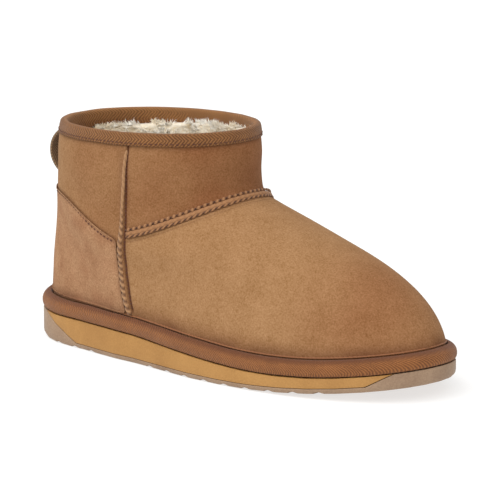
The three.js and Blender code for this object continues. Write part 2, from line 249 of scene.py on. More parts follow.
def makeStudio():
    for azimuth, elevation, strength, softness in studio["lamps"]:
        direction = directionTo(azimuth, elevation)
        turn = direction.to_track_quat("Z", "Y").to_euler()
        bpy.ops.object.light_add(type="SUN", location=direction * studio["lampAway"], rotation=turn)
        lamp = bpy.context.object.data
        lamp.energy = strength
        lamp.angle = math.radians(softness)
    world = bpy.data.worlds.new("studioWhite")
    world.use_nodes = True
    world.node_tree.nodes["Background"].inputs["Color"].default_value = (1, 1, 1, 1)
    world.node_tree.nodes["Background"].inputs["Strength"].default_value = studio["world"]
    bpy.context.scene.world = world
    bpy.context.scene.view_settings.view_transform = "Standard"
    deselectAll()
    bpy.ops.mesh.primitive_plane_add(size=studio["floorSize"])
    floor = bpy.context.object
    floor.name = "floor"
    paper, tree = newMaterial("whitePaper")
    surface = addNode(tree, "BsdfPrincipled", {
        "Base Color": studio["floorColour"], "Roughness": 0.9, "Emission Color": "#ffffff",
        "Emission Strength": studio["floorGlow"]})
    addNode(tree, "OutputMaterial", {"Surface": surface})
    floor.data.materials.append(paper)


makeCamera()
makeStudio()
print("camera and studio made")


# Materials

# Suede side of tanned sheepskin, brushed: a matt nap with fine specks, and soft clouds where it lies another
# way. It is darker beside seams, grooves and edges, partly where needles and glue have pressed it down and
# partly painted shade, and darker and redder on the shaft and the toe, partly a panel's own tone and partly
# painted shade where they turn from the light.
suede = {
    "light": "#ab835d",
    "dark": "#845d36",
    # painted shade, mixed in with pressed nap beside seams, grooves, edges and the binding
    "pressedAndShade": "#532c1c",
    # the shaft panel's own darker tone, and painted shade on the shaft, the toe and the vamp along the
    # binding
    "toneAndShade": "#dcc3ba",  # multiplies the colour
    "counterLight": "#bb916d",  # the counter is cut from a paler part of the skin
    "counterDark": "#8e6848",
    "cloud": 14 * mm,
    "nap": 3.2 * mm,
    "grain": 0.85 * mm,  # a nap fibre is finer than this; it is drawn as coarse as it needs to show
    "bump": 0.35,
}


def makeSuede(name, light, dark):
    material, tree = newMaterial(name)
    place = addNode(tree, "TexCoord", output="Object")
    cloud = addNode(tree, "TexNoise", {"Vector": place, "Scale": 1 / suede["cloud"], "Detail": 4})
    nap = addNode(
        tree, "TexNoise", {"Vector": place, "Scale": 1 / suede["nap"], "Detail": 4, "Roughness": 0.6})
    grain = addNode(tree, "TexNoise", {"Vector": place, "Scale": 1 / suede["grain"], "Detail": 3})
    tone = addNode(tree, "Math", {0: nap, 1: 0.3, 2: 0}, operation="MULTIPLY_ADD")
    tone = addNode(tree, "Math", {0: cloud, 1: 0.3, 2: tone}, operation="MULTIPLY_ADD")
    tone = addNode(tree, "Math", {0: grain, 1: 1, 2: tone}, operation="MULTIPLY_ADD")
    tone = addNode(tree, "MapRange", {"Value": tone, "From Min": 0.5, "From Max": 1.1})
    colour = addNode(tree, "Mix", {0: tone, 6: dark, 7: light}, data_type="RGBA")
    # the shaft panel's own tone, and painted shade where the shaft, the toe and the vamp turn from the light
    toneAndShade = addNode(tree, "Attribute", output="Fac", attribute_name="toneAndShade")
    colour = addNode(
        tree, "Mix", {0: toneAndShade, 6: colour, 7: suede["toneAndShade"]}, data_type="RGBA", blend_type="MULTIPLY")
    # pressed nap and painted shade beside seams, grooves and edges
    pressedAndShade = addNode(tree, "Attribute", output="Fac", attribute_name="pressedAndShade")
    colour = addNode(tree, "Mix", {0: pressedAndShade, 6: colour, 7: suede["pressedAndShade"]}, data_type="RGBA")
    height = addNode(tree, "Math", {0: nap, 1: 0.8, 2: grain}, operation="MULTIPLY_ADD")
    bump = addNode(tree, "Bump", {"Height": height, "Strength": suede["bump"], "Distance": 0.5 * mm})
    surface = addNode(tree, "BsdfPrincipled", {
        "Base Color": colour, "Normal": bump, "Roughness": 0.95, "Specular IOR Level": 0.15,
        "Sheen Weight": 0.1, "Sheen Roughness": 0.5, "Sheen Tint": "#e0bd98"})
    addNode(tree, "OutputMaterial", {"Surface": surface})
    return material


# Cotton twill tape with a herringbone weave: matt, its diagonal ribs turning at each row. The binding's twill
# runs one way all over, and the pull loop's webbing is greyer and has narrower ribs.
twill = {
    "light": "#926339",
    "dark": "#4a2c18",
    "paintedInnerLight": "#4e371f",  # painted light, added on the tape's inner side where the shaft shades it
    "rib": 2.0 * mm,  # two threads of a real tape; drawn as coarse as it needs to show
    "row": 3.6 * mm,
    "fuzz": 0.8 * mm,
    "worn": 12 * mm,
    "loose": 4 * mm,  # over which a rib wanders
    "bump": 0.7,
}
bindingTwill = {**twill, "light": "#9a6337", "dark": "#5e371d", "rib": 1.6 * mm, "row": 40 * mm}
webbing = {**twill, "light": "#8f7253", "dark": "#44301f", "rib": 1.6 * mm}


def makeWeave(name, weave):
    material, tree = newMaterial(name)
    place = addNode(tree, "TexCoord", output="Object")
    flat = addNode(tree, "TexCoord", output="UV")
    along = addNode(tree, "SeparateXYZ", {0: flat}, output="X")
    up = addNode(tree, "SeparateXYZ", {0: flat}, output="Y")
    fuzz = addNode(tree, "TexNoise", {"Vector": place, "Scale": 1 / weave["fuzz"], "Detail": 2})
    worn = addNode(tree, "TexNoise", {"Vector": place, "Scale": 1 / weave["worn"], "Detail": 3})
    loose = addNode(tree, "TexNoise", {"Vector": place, "Scale": 1 / weave["loose"], "Detail": 2})
    rise = addNode(tree, "Math", {0: up, 1: weave["row"]}, operation="PINGPONG")
    diagonal = addNode(tree, "Math", {0: along, 1: rise}, operation="ADD")
    diagonal = addNode(tree, "Math", {0: loose, 1: weave["rib"], 2: diagonal}, operation="MULTIPLY_ADD")
    turn = addNode(tree, "Math", {0: diagonal, 1: 2 * math.pi / weave["rib"]}, operation="MULTIPLY")
    wave = addNode(tree, "Math", {0: turn}, operation="SINE")
    rib = addNode(tree, "MapRange", {"Value": wave, "From Min": -1, "From Max": 1})
    tone = addNode(tree, "Math", {0: fuzz, 1: 0.5, 2: -0.3}, operation="MULTIPLY_ADD")
    tone = addNode(tree, "Math", {0: worn, 1: 0.5, 2: tone}, operation="MULTIPLY_ADD")
    tone = addNode(tree, "Math", {0: rib, 1: 0.75, 2: tone}, operation="MULTIPLY_ADD", use_clamp=True)
    colour = addNode(tree, "Mix", {0: tone, 6: weave["dark"], 7: weave["light"]}, data_type="RGBA")
    # painted light on the tape's inner side, which the shaft shades
    paintedInnerLight = addNode(tree, "Attribute", output="Fac", attribute_name="paintedInnerLight")
    colour = addNode(
        tree, "Mix", {0: paintedInnerLight, 6: colour, 7: weave["paintedInnerLight"]}, data_type="RGBA", blend_type="ADD")
    # painted shade along the tape's edge where it meets the suede
    pressedAndShade = addNode(tree, "Attribute", output="Fac", attribute_name="pressedAndShade")
    colour = addNode(tree, "Mix", {0: pressedAndShade, 6: colour, 7: suede["pressedAndShade"]}, data_type="RGBA")
    height = addNode(tree, "Math", {0: fuzz, 1: 0.4, 2: rib}, operation="MULTIPLY_ADD")
    bump = addNode(tree, "Bump", {"Height": height, "Strength": weave["bump"], "Distance": 0.3 * mm})
    surface = addNode(tree, "BsdfPrincipled", {
        "Base Color": colour, "Normal": bump, "Roughness": 0.85, "Specular IOR Level": 0.25,
        "Sheen Weight": 0.1})
    addNode(tree, "OutputMaterial", {"Surface": surface})
    return material


# Clipped wool: soft matt cream fibres, a little yellower in the hollows between clumps and in patches.
fleece = {
    "patch": 30 * mm,
    "pile": {"light": "#f6efe0", "dark": "#d8c198", "clump": 4 * mm},
    "lock": {"light": "#fdf9f0", "dark": "#e6d3b1", "clump": 5 * mm},
}


def makeWool(name, kind):
    material, tree = newMaterial(name)
    place = addNode(tree, "TexCoord", output="Object")
    tuft = addNode(
        tree, "TexNoise", {"Vector": place, "Scale": 1 / kind["clump"], "Detail": 5, "Roughness": 0.6})
    patch = addNode(tree, "TexNoise", {"Vector": place, "Scale": 1 / fleece["patch"], "Detail": 2})
    tone = addNode(tree, "Math", {0: patch, 1: 0.8, 2: tuft}, operation="MULTIPLY_ADD")
    tone = addNode(tree, "MapRange", {"Value": tone, "From Min": 0.65, "From Max": 1.1})
    colour = addNode(tree, "Mix", {0: tone, 6: kind["dark"], 7: kind["light"]}, data_type="RGBA")
    bump = addNode(tree, "Bump", {"Height": tuft, "Strength": 0.7, "Distance": 1 * mm})
    surface = addNode(tree, "BsdfPrincipled", {
        "Base Color": colour, "Normal": bump, "Roughness": 1, "Specular IOR Level": 0.1,
        "Sheen Weight": 0.25})
    addNode(tree, "OutputMaterial", {"Surface": surface})
    return material


# Moulded foam and rubber: an even colour with faint clouds and specks, under a fine matt skin.
moulded = {
    "cloud": 22 * mm,
    "foam": {"light": "#b3854b", "dark": "#a1743e", "roughness": 0.7, "speck": 0.8 * mm},
    "rubber": {"light": "#a3886e", "dark": "#8b7059", "roughness": 0.6, "speck": 0.9 * mm},
}


def makeMoulded(name, kind):
    material, tree = newMaterial(name)
    place = addNode(tree, "TexCoord", output="Object")
    cloud = addNode(tree, "TexNoise", {"Vector": place, "Scale": 1 / moulded["cloud"], "Detail": 3})
    speck = addNode(tree, "TexNoise", {"Vector": place, "Scale": 1 / kind["speck"], "Detail": 2})
    tone = addNode(tree, "Math", {0: speck, 1: 0.8, 2: cloud}, operation="MULTIPLY_ADD")
    tone = addNode(tree, "MapRange", {"Value": tone, "From Min": 0.65, "From Max": 1.15})
    colour = addNode(tree, "Mix", {0: tone, 6: kind["dark"], 7: kind["light"]}, data_type="RGBA")
    bump = addNode(tree, "Bump", {"Height": speck, "Strength": 0.2, "Distance": 0.2 * mm})
    surface = addNode(tree, "BsdfPrincipled", {
        "Base Color": colour, "Normal": bump, "Roughness": kind["roughness"], "Specular IOR Level": 0.35})
    addNode(tree, "OutputMaterial", {"Surface": surface})
    return material


# Spun polyester sewing thread: a soft sheen; its colour is lighter on its raised turns, a painted highlight,
# and darker in the gaps between them, painted shade.
threads = {
    "fuzz": 0.7 * mm,
    # dark thread; in the side grooves its stitches stand for shaded needle holes, painted shade
    "stitch": {"light": "#5b3323", "dark": "#45261a"},
    "instep": {"light": "#9e7049", "dark": "#3d2014"},
    "side": {"light": "#a97f58", "dark": "#50301e"},
    "edge": {"light": "#8d5b38", "dark": "#704229"},
}


def makeThread(name, kind):
    material, tree = newMaterial(name)
    place = addNode(tree, "TexCoord", output="Object")
    fuzz = addNode(tree, "TexNoise", {"Vector": place, "Scale": 1 / threads["fuzz"], "Detail": 2})
    # painted highlight on the raised turns, painted shade in the gaps
    crestLightGapShade = addNode(tree, "Attribute", output="Fac", attribute_name="crestLightGapShade")
    tone = addNode(tree, "Math", {0: fuzz, 1: 0.7, 2: -0.35}, operation="MULTIPLY_ADD")
    tone = addNode(tree, "Math", {0: tone, 1: crestLightGapShade}, operation="ADD", use_clamp=True)
    colour = addNode(tree, "Mix", {0: tone, 6: kind["dark"], 7: kind["light"]}, data_type="RGBA")
    surface = addNode(tree, "BsdfPrincipled", {
        "Base Color": colour, "Roughness": 0.75, "Specular IOR Level": 0.3, "Sheen Weight": 0.1})
    addNode(tree, "OutputMaterial", {"Surface": surface})
    return material


suedeTan = makeSuede("suedeTan", suede["light"], suede["dark"])
suedeCounter = makeSuede("suedeCounter", suede["counterLight"], suede["counterDark"])
twillTape = makeWeave("twillTape", twill)
twillBinding = makeWeave("twillBinding", bindingTwill)
webbingTape = makeWeave("ribbedWebbing", webbing)
woolCream = makeWool("woolCream", fleece["pile"])
woolFibre = makeWool("woolFibre", fleece["lock"])
foamTan = makeMoulded("mouldedFoam", moulded["foam"])
rubberGrey = makeMoulded("mouldedRubber", moulded["rubber"])
stitchThreadAndHoleShade = makeThread("darkThreadAndHoleShade", threads["stitch"])
seamThread = makeThread("overlockThread", threads["instep"])
sideThread = makeThread("sideSeamThread", threads["side"])
edgeThread = makeThread("edgeThread", threads["edge"])
print("materials made")


# Seam lines. Each is a list of places on a surface, with the surface's normal there.

seams = {
    "shaftMiddle": Vector((-60 * mm, -0.9 * mm, 0)),
    "sideSeam": [  # height and place along the boot, in mm
        (15.5, -37.0), (24.1, -38.5), (32.4, -40.1), (40.8, -41.6),
        (50.9, -42.6), (69.4, -42.6), (89.2, -42.4), (122.3, -42.1),
    ],
    "sideRope": [
        (25, -39.4), (39, -43.4), (49, -44.6), (61, -44.1),
        (70, -43.5), (82, -43.0), (96, -41.8), (116, -41.0),
    ],
    "sideGroove": [
        (29, -38.0), (37, -39.4), (48, -41.1), (58, -41.5),
        (83, -41.2), (96, -40.7), (115, -40.3),
    ],
    "ropeHeights": (25.5 * mm, 115.5 * mm),
    "grooveHeights": (30 * mm, 115 * mm),
    "instepBack": -42.6 * mm,
    "instepStart": -41.6 * mm,
    "instepFront": 9.05 * mm,
    "instepSide": 69.4 * mm,  # heights of the instep seam, at the side and in front
    "instepTop": 90.3 * mm,
    "instepCurve": 1.3,
    "counterSide": 65.9 * mm,  # heights of the counter's edge, at the side and behind
    "counterTop": 84.7 * mm,
    "counterBack": -120.9 * mm,
    "counterClimb": 0.72,
    "tapeBack": 114.9 * mm,  # heights of the collar tape's lower edge
    "tapeFront": 117.7 * mm,
}
sole = {  # as the boot's solids have it
    "back": -126.59 * mm,
    "length": 256 * mm,
    "heel": 15.7 * mm,
    "ball": 8.2 * mm,
    "spring": 8.6 * mm,
    "heelRise": 0.5 * mm,
    "heelShare": 0.12,  # of the length, where the heel's rise ends
    "slopeShares": (0.235, 0.85),
    "springShare": 0.6,  # where the toe's spring starts
    "bindingHeight": 9.3 * mm,
    "overBinding": 0.3 * mm,
    "outside": 0.3,  # metres from the middle, clear of the boot on every side
}


def soleTop(x):
    share = (x - sole["back"]) / sole["length"]
    spring = sole["spring"] * max((share - sole["springShare"]) / (1 - sole["springShare"]), 0) ** 2
    rise = sole["heelRise"] * max((sole["heelShare"] - share) / sole["heelShare"], 0) ** 2
    slope = (sole["ball"] - sole["heel"]) * smoothStep(*sole["slopeShares"], share)
    return sole["heel"] + slope + spring + rise


def instepHeight(x):
    share = (x - seams["instepBack"]) / (seams["instepFront"] - seams["instepBack"])
    climb = max(share, 0) ** seams["instepCurve"]
    return seams["instepSide"] + (seams["instepTop"] - seams["instepSide"]) * climb


def counterHeight(x):
    share = (seams["instepBack"] - x) / (seams["instepBack"] - seams["counterBack"])
    climb = smoothStep(0, seams["counterClimb"], share)
    return seams["counterSide"] + (seams["counterTop"] - seams["counterSide"]) * climb


def tapeHeight(x):
    share = (x - seams["counterBack"]) / (seams["instepFront"] - seams["counterBack"])
    return seams["tapeBack"] + (seams["tapeFront"] - seams["tapeBack"]) * share


def bindingTop(x):
    return soleTop(x) + sole["bindingHeight"] + sole["overBinding"]


def hitFrom(piece, place, inward):
    # first point of a piece on a level line from outside to the place, which is inside the boot
    away = sole["outside"]
    found, point, normal, _ = piece.ray_cast(place - inward * away, inward, distance=away)
    return (point, normal) if found else None


def facesOut(point, normal):
    return normal.xy.dot(point.xy - seams["shaftMiddle"].xy) > 0


def sideSeamPlace(z, part="sideSeam"):
    heights, places = zip(*seams[part])
    return float(np.interp(z / mm, heights, places)) * mm


def sideSeamLine(piece, side, part, heights):
    line = []
    for z in np.arange(*heights, 0.5 * mm):
        hit = hitFrom(piece, Vector((sideSeamPlace(z, part), 0, z)), Vector((0, -side, 0)))
        if hit:
            line.append(hit)
    return line


def lineRound(piece, heightOf, middle, start, end, count):
    # line round a piece, between two angles about its middle, its height set by the place along the boot
    line = []
    z = heightOf(middle.x)
    for turn in np.linspace(math.radians(start), math.radians(end), count):
        outward = Vector((math.cos(turn), math.sin(turn), 0))
        hit = None
        for _ in range(4):  # the place and its height settle together
            hit = hitFrom(piece, Vector((middle.x, middle.y, z)), -outward) or hit
            z = heightOf(hit[0].x) if hit else z
        if hit:
            line.append(hit)
    return line


def spaced(line, step):
    # places along a line, a step apart, with the normal and the direction there
    points = np.array([point for point, _ in line])
    normals = np.array([normal for _, normal in line])
    lengths = np.concatenate([[0], np.cumsum(np.linalg.norm(np.diff(points, axis=0), axis=1))])
    at = np.arange(0, lengths[-1], step)
    place = np.stack([np.interp(at, lengths, points[:, i]) for i in range(3)], axis=1)
    out = np.stack([np.interp(at, lengths, normals[:, i]) for i in range(3)], axis=1)
    ahead = np.gradient(place, axis=0)
    return [(Vector(p), Vector(n).normalized(), Vector(d).normalized()) for p, n, d in zip(place, out, ahead)]


# Pieces made of many small ones, along a line

def placeOn(point, normal, ahead, toward):
    # matrix whose X runs across the line to the side that toward names, and Z out of the surface
    across = ahead.cross(normal).normalized()
    if across.dot(toward) < 0:
        across = -across
    along = normal.cross(across).normalized()
    return Matrix.Translation(point) @ Matrix((across, along, normal)).transposed().to_4x4()


def meshPiece(name, vertices, faces):
    mesh = bpy.data.meshes.new(name)
    mesh.from_pydata(vertices, [], faces)
    mesh.update()
    return newPiece(name, mesh)


def valueAt(value, point):
    # a rope's size is a number, or a function of the place
    return value(point) if callable(value) else value


def tubeFaces(rings, sides):
    # the wall of a tube whose points come ring by ring
    faces = []
    for ring in range(rings - 1):
        for side in range(sides):
            after = (side + 1) % sides
            low, high = ring * sides, (ring + 1) * sides
            faces.append([low + side, low + after, high + after, high + side])
    return faces


def ropeAlong(name, line, rope, toward):
    # a flattened cord with slanted turns and round ends; its attribute marks the raised turns for a painted
    # highlight and the gaps for painted shade
    step, sides, endRings = 0.4 * mm, 12, 5
    places = spaced(line, step)
    vertices, crestLightGapShade = [], []
    for i, (point, normal, ahead) in enumerate(places):
        matrix = placeOn(point, normal, ahead, toward)
        ends = min(1, (i + 0.3) / endRings, (len(places) - 0.7 - i) / endRings) ** 0.5
        wide = valueAt(rope["half"], point) * ends
        depth = valueAt(rope["depth"], point)
        for j in range(sides):
            turn = 2 * math.pi * j / sides
            phase = 2 * math.pi * (i * step + rope["slant"] * math.cos(turn)) / rope["pitch"]
            lobe = 0.5 + 0.5 * math.cos(phase)
            size = 1 - depth * (1 - lobe)
            across = rope["offset"] + wide * size * math.cos(turn)
            out = rope["lift"] + rope["flat"] * wide * size * math.sin(turn)
            vertices.append(matrix @ Vector((across, 0, out)))
            crestLightGapShade.append(1 - (1 - lobe) * min(2.6 * depth, 1))
    faces = tubeFaces(len(places), sides)
    last = (len(places) - 1) * sides
    faces.append(list(range(sides))[::-1])
    faces.append(list(range(last, last + sides)))
    piece = meshPiece(name, vertices, faces)
    attribute = piece.data.attributes.new("crestLightGapShade", "FLOAT", "POINT")
    attribute.data.foreach_set("value", crestLightGapShade)
    selectOnly(piece)
    bpy.ops.object.mode_set(mode="EDIT")
    bpy.ops.mesh.select_all(action="SELECT")
    bpy.ops.mesh.normals_make_consistent(inside=False)
    bpy.ops.object.mode_set(mode="OBJECT")
    smoothFaces(piece)
    return piece


def stitchTemplate(points, radius, sides):
    # a thin thread through a few points, as vertices and faces
    curve = bpy.data.curves.new("template", "CURVE")
    curve.dimensions = "3D"
    curve.bevel_depth = radius
    curve.bevel_resolution = sides // 4
    curve.use_fill_caps = True
    spline = curve.splines.new("POLY")
    spline.points.add(len(points) - 1)
    for point, place in zip(spline.points, points):
        point.co = (*place, 1)
    thread = newPiece("template", curve)
    selectOnly(thread)
    bpy.ops.object.convert(target="MESH")
    thread = bpy.context.object
    vertices = np.array([vertex.co for vertex in thread.data.vertices])
    faces = [list(face.vertices) for face in thread.data.polygons]
    bpy.data.objects.remove(thread)
    return vertices, faces


def joinCopies(name, template, matrices):
    points, faces = template
    turned = [points @ np.array(m.to_3x3()).T + np.array(m.translation) for m in matrices]
    count = len(points)
    allFaces = [[v + i * count for v in face] for i in range(len(matrices)) for face in faces]
    return meshPiece(name, np.concatenate(turned).tolist(), allFaces)


# Upper: the skin, smoothed, with its soft creases and the grooves beside its seams

upperSkin = {
    "levels": 2,
    "cuts": 2,  # of the faces near the seams
    "fine": {"side": 4 * mm, "instep": (-3 * mm, 6 * mm), "edge": (-2 * mm, 3 * mm)},  # reach of those cuts
    "throat": {  # where the front of the shaft draws in: along it, and above and below one height
        "depth": 1.2 * mm, "back": -20 * mm, "front": 4 * mm,
        "height": 91 * mm, "near": 5 * mm, "far": 20 * mm},
    "undulation": 0.4 * mm,
    "undulationSize": 34 * mm,
    "ridge": 0.5,  # of a crease's depth, at so many of its widths from its line
    "ridgeAway": 1.6,
    "creases": [  # two ends, width and depth, all in mm
        ((-30, -45, 63), (12, -34, 80), 5, 0.5),
        ((-30, 45, 63), (12, 34, 80), 5, 0.5),
        ((-48, -44, 74), (-95, -38, 92), 9, 0.7),
        ((-48, 44, 74), (-95, 38, 92), 9, 0.7),
        ((-10, -44, 92), (-2, -33, 108), 9, 0.6),
        ((-8, 44, 92), (-2, 33, 106), 9, 0.6),
        ((46, -46, 34), (62, -22, 58), 12, 0.5),
        ((44, 46, 36), (60, 22, 60), 12, 0.5),
    ],
    "sideGroove": {"away": 0, "half": 0.9 * mm, "depth": 1.0 * mm},
    "instepGroove": {"away": 2.4 * mm, "half": 0.7 * mm, "depth": 0.5 * mm},
    "instepCrease": {"away": 4.3 * mm, "half": 0.7 * mm, "depth": 0.2 * mm},
    "grooveFoot": (24 * mm, 30 * mm),  # heights over which the side groove begins
}


def distanceToLine(point, start, end):
    line = end - start
    share = min(max((point - start).dot(line) / line.length_squared, 0), 1)
    return (point - start - line * share).length, share


def creaseDepth(point):
    # a trough along each crease's line, which fades out at its ends, and a low ridge round it
    depth = 0
    for start, end, width, deep in upperSkin["creases"]:
        away, share = distanceToLine(point, Vector(start) * mm, Vector(end) * mm)
        fade = math.sin(math.pi * min(max(share, 0.02), 0.98))
        trough = math.exp(-((away / (width * mm)) ** 2))
        ridge = math.exp(-(((away - upperSkin["ridgeAway"] * width * mm) / (width * mm)) ** 2))
        depth += deep * mm * fade * (upperSkin["ridge"] * ridge - trough)
    return depth


def bell(distance, groove):
    return math.exp(-(((distance - groove["away"]) / groove["half"]) ** 2))


def grooveAt(point):
    # how far a point is in each groove: beside the side seam, under the instep seam, and the line below that
    side = bell(point.x - sideSeamPlace(point.z, "sideGroove"), upperSkin["sideGroove"])
    side *= smoothStep(*upperSkin["grooveFoot"], point.z)
    below = instepHeight(point.x) - point.z
    front = smoothStep(seams["instepBack"] - 1 * mm, seams["instepBack"] + 3 * mm, point.x)
    groove, crease = (bell(below, upperSkin[name]) for name in ("instepGroove", "instepCrease"))
    return side, front * groove, front * crease


def nearSeam(point):
    if abs(point.x - sideSeamPlace(point.z) - 1 * mm) < upperSkin["fine"]["side"]:
        return True
    if point.x > seams["instepBack"]:
        low, high = upperSkin["fine"]["instep"]
        return low < instepHeight(point.x) - point.z < high
    low, high = upperSkin["fine"]["edge"]
    return low < point.z - counterHeight(point.x) < high


def refineNear(piece, isNear, cuts):
    clearSelection(piece, "FACE")
    for face in piece.data.polygons:
        face.select = facesOut(face.center, face.normal) and isNear(face.center)
    bpy.ops.object.mode_set(mode="EDIT")
    bpy.ops.mesh.subdivide(number_cuts=cuts)
    bpy.ops.object.mode_set(mode="OBJECT")


def makeUpper():
    piece = copyNode("upper", "suede_upper")
    joinLeftTriangles(piece)
    smooth(piece, upperSkin["levels"])
    refineNear(piece, nearSeam, upperSkin["cuts"])
    size = upperSkin["undulationSize"]

    def relief(point, normal):
        out = creaseDepth(point) + upperSkin["undulation"] * lumps(point, size)
        if facesOut(point, normal):
            for share, name in zip(grooveAt(point), ("sideGroove", "instepGroove", "instepCrease")):
                out -= share * upperSkin[name]["depth"]
        return out

    moveAlongNormals(piece, relief)
    smoothFaces(piece)
    return piece


def drawIn(point):
    # where the shaft meets the instep in front, the real one bends in a little sharper than its solid
    throat = upperSkin["throat"]
    share = smoothStep(throat["back"], throat["front"], point.x)
    share *= smoothStep(throat["far"], throat["near"], abs(point.z - throat["height"]))
    inward = (seams["shaftMiddle"].xy - point.xy).normalized() * throat["depth"] * share
    return point + Vector((inward.x, inward.y, 0))


upper = makeUpper()
ropeLines = {side: sideSeamLine(upper, side, "sideRope", seams["ropeHeights"]) for side in (-1, 1)}
grooveLines = {side: sideSeamLine(upper, side, "sideGroove", seams["grooveHeights"]) for side in (-1, 1)}
instepLine = lineRound(upper, instepHeight, seams["shaftMiddle"], start=-79, end=79, count=260)
instepLine = [(drawIn(point), normal) for point, normal in instepLine if point.x > seams["instepStart"]]
for vertex in upper.data.vertices:
    vertex.co = drawIn(vertex.co)
print("upper made:", len(upper.data.vertices), "vertices,", len(upper.data.polygons), "faces")


# Counter: the patch over the heel, its edge folded and sewn

counter = {
    "levels": 3,
    "fold": 1.9 * mm,  # width of the folded edge
    "foldSoft": 0.6 * mm,
    "foldRise": 0.2 * mm,
    "sink": 1.0 * mm,  # the real patch is thinner than its solid
    "stitchDrop": 1.9 * mm,  # of the stitch line below the edge
    "stitchGroove": {"away": 1.9 * mm, "half": 0.7 * mm, "depth": 0.25 * mm},
    "wobble": 0.2 * mm,
    "wobbleSize": 20 * mm,
}


def makeCounter():
    piece = copyNode("heel_counter", "suede_heel_counter")
    smooth(piece, counter["levels"])

    def relief(point, normal):
        if not facesOut(point, normal):
            return 0
        below = counterHeight(point.x) - point.z
        fold = smoothStep(counter["fold"] + counter["foldSoft"], counter["fold"] - counter["foldSoft"], below)
        groove = bell(below, counter["stitchGroove"]) * counter["stitchGroove"]["depth"]
        wobble = counter["wobble"] * lumps(point, counter["wobbleSize"], 2)
        return counter["foldRise"] * fold - groove + wobble - counter["sink"]

    moveAlongNormals(piece, relief)
    smoothFaces(piece)
    return piece


heelCounter = makeCounter()
counterLine = lineRound(
    heelCounter, lambda x: counterHeight(x) - counter["stitchDrop"], seams["shaftMiddle"],
    start=76, end=284, count=260)
print("counter made:", len(heelCounter.data.vertices), "vertices")


# Tapes: the collar's and the binding round the sole. Their weave follows a map in metres, along the tape and
# up it.

def outlineOf(points, turns, radii, samples):
    # how far a piece reaches at each turn about its middle, and how low and high, all smoothed
    bins = ((turns + math.pi) / (2 * math.pi) * samples).astype(int) % samples
    reach, low, high = np.full(samples, np.nan), np.full(samples, np.nan), np.full(samples, np.nan)
    for i in np.unique(bins):
        here = bins == i
        reach[i], low[i], high[i] = radii[here].max(), points[here, 2].min(), points[here, 2].max()
    known = np.flatnonzero(~np.isnan(reach))
    wrap = np.concatenate([known - samples, known, known + samples])
    rows = [np.interp(np.arange(samples), wrap, np.tile(row[known], 3)) for row in (reach, low, high)]
    window = range(-6, 7)
    for pick, widest in enumerate((np.max, np.min, np.max)):
        rows[pick] = widest([np.roll(rows[pick], i) for i in window], axis=0)
    return [np.mean([np.roll(row, i) for i in window], axis=0) for row in rows]


def mapTape(piece, middle, samples=720):
    # along: round the outline. up: height on the outer face, then over the fold and down the inner face
    points = np.array([vertex.co for vertex in piece.data.vertices])
    flat = points[:, :2] - np.array(middle.xy)
    turns = np.arctan2(flat[:, 1], flat[:, 0])
    radii = np.linalg.norm(flat, axis=1)
    reach, low, high = outlineOf(points, turns, radii, samples)
    angles = (np.arange(samples) + 0.5) / samples * 2 * math.pi - math.pi
    outline = np.stack([reach * np.cos(angles), reach * np.sin(angles)], axis=1)
    steps = np.linalg.norm(np.diff(np.vstack([outline, outline[:1]]), axis=0), axis=1)
    lengths = np.concatenate([[0], np.cumsum(steps)])
    uvs = piece.data.uv_layers.new(name="tape")
    for face in piece.data.polygons:
        centre = face.center - middle
        faceTurn = math.atan2(centre.y, centre.x)
        inner = face.normal.x * centre.x + face.normal.y * centre.y < -0.3 * centre.xy.length
        for corner in face.loop_indices:
            vertex = piece.data.loops[corner].vertex_index
            turn = turns[vertex]
            turn += 2 * math.pi * round((faceTurn - turn) / (2 * math.pi))  # whole across the map's end
            place = (turn + math.pi) / (2 * math.pi) * samples - 0.5
            whole = math.floor(place / samples)
            along = np.interp(place - whole * samples, np.arange(samples + 1), lengths)
            along += whole * lengths[-1]
            at = int(place) % samples
            inset = reach[at] - radii[vertex]
            z = points[vertex, 2]
            up = (high[at] - low[at]) + inset + (high[at] - z) if inner else (z - low[at]) + inset
            uvs.data[corner].uv = (along, up)


tape = {
    "levels": 2,
    "sink": 0.8 * mm,  # the real tape is thinner than its solid on its outer side
    "wobble": 0.2 * mm,
    "wobbleSize": 12 * mm,
    "stitchUp": 1.9 * mm,
}


def makeCollarTape():
    piece = copyNode("collar_tape", "twill_collar_tape")
    smooth(piece, tape["levels"])

    def relief(point, normal):
        outer = max(normal.xy.dot((point.xy - seams["shaftMiddle"].xy).normalized()), 0)
        return tape["wobble"] * lumps(point, tape["wobbleSize"], 4) - tape["sink"] * outer

    moveAlongNormals(piece, relief)
    mapTape(piece, seams["shaftMiddle"])
    smoothFaces(piece)
    return piece


binding = {"levels": 2, "wobble": 0.22 * mm, "wobbleSize": 16 * mm, "cordUp": 0.4 * mm}


def makeBinding():
    piece = copyNode("binding_round_sole", "twill_binding")
    smooth(piece, binding["levels"])
    moveAlongNormals(piece, lambda point, _: binding["wobble"] * lumps(point, binding["wobbleSize"], 5))
    mapTape(piece, Vector((0, 0, 0)))
    smoothFaces(piece)
    return piece


collarTape = makeCollarTape()
bindingTape = makeBinding()
tapeLine = lineRound(
    collarTape, lambda x: tapeHeight(x) + tape["stitchUp"], seams["shaftMiddle"], start=0, end=360, count=500)
bindingLine = lineRound(
    upper, lambda x: bindingTop(x) + binding["cordUp"], Vector((0, 0, 0)), start=0, end=360, count=720)
print("tapes made:", len(collarTape.data.vertices) + len(bindingTape.data.vertices), "vertices")


# Darker suede beside the seams, the grooves and the binding, partly pressed nap and partly painted shade, and
# a darker, redder shaft and toe, partly the panel's own tone and partly painted shade

